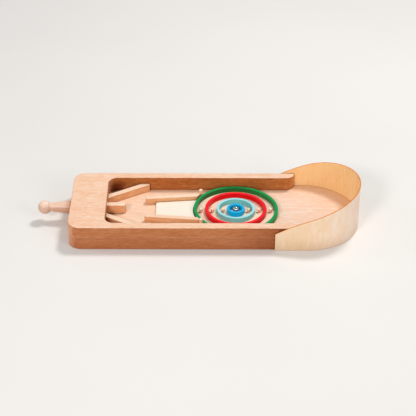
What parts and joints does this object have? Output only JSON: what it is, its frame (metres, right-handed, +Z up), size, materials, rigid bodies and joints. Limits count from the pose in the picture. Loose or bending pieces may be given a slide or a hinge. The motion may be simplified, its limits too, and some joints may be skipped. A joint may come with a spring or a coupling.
{
  "type": "wooden tabletop shooting board",
  "caption": "Long wooden board with raised side rails, a hand plunger that knocks a steel ball along a lane at raised painted target rings, and a bent plywood fence at the far end.",
  "frame": {"origin": "middle of the whole object's box, at the height of the underside that rests on the table", "axes": "+X along the board from the plunger's handle to the bent fence, +Y across the board away from the picture's viewer, +Z up out of the playfield"},
  "size_m": [0.3988, 0.1336, 0.0589],
  "materials": {
    "beech": "smooth sanded, clear satin",
    "beech_turned": "turned and sanded, clear satin",
    "birch_plywood": "bent thin plywood, clear satin, darker cut edge",
    "pale_veneer": "pale smooth wood, matt",
    "green_paint": "glossy paint on wood",
    "red_paint": "glossy paint on wood",
    "light_blue_paint": "glossy paint on wood",
    "blue_paint": "glossy paint on wood",
    "polished_steel": "mirror polished"
  },
  "bodies": {
    "board": {"base_board": "beech", "side_frame": "beech", "curved_fence": "birch_plywood", "plunger_stop_pin": "beech_turned", "funnel_bar_back": "beech", "funnel_bar_front": "beech", "lane_bar_back": "beech", "lane_bar_front": "beech", "launch_plate": "pale_veneer", "ring_green": "green_paint", "ring_red": "red_paint", "ring_light_blue": "light_blue_paint", "ring_blue": "blue_paint", "ring_peg_1": "beech_turned", "ring_peg_2": "beech_turned", "ring_peg_3": "beech_turned", "ring_peg_4": "beech_turned", "ring_peg_5": "beech_turned", "ring_peg_6": "beech_turned", "lane_peg_back": "beech_turned", "lane_peg_front": "beech_turned"},
    "plunger": {"plunger_handle": "beech_turned", "plunger_bar": "beech"},
    "ball": {"steel_ball": "polished_steel"}
  },
  "joints": [
    {"name": "plunger_slide", "type": "slide", "parent": "board", "child": "plunger", "axis": [1, 0, 0], "range_m": [-0.018, 0]},
    {"name": "ball_roll", "type": "slide", "parent": "board", "child": "ball", "axis": [1, 0, 0], "range_m": [-0.0037, 0.0037]}
  ]
}
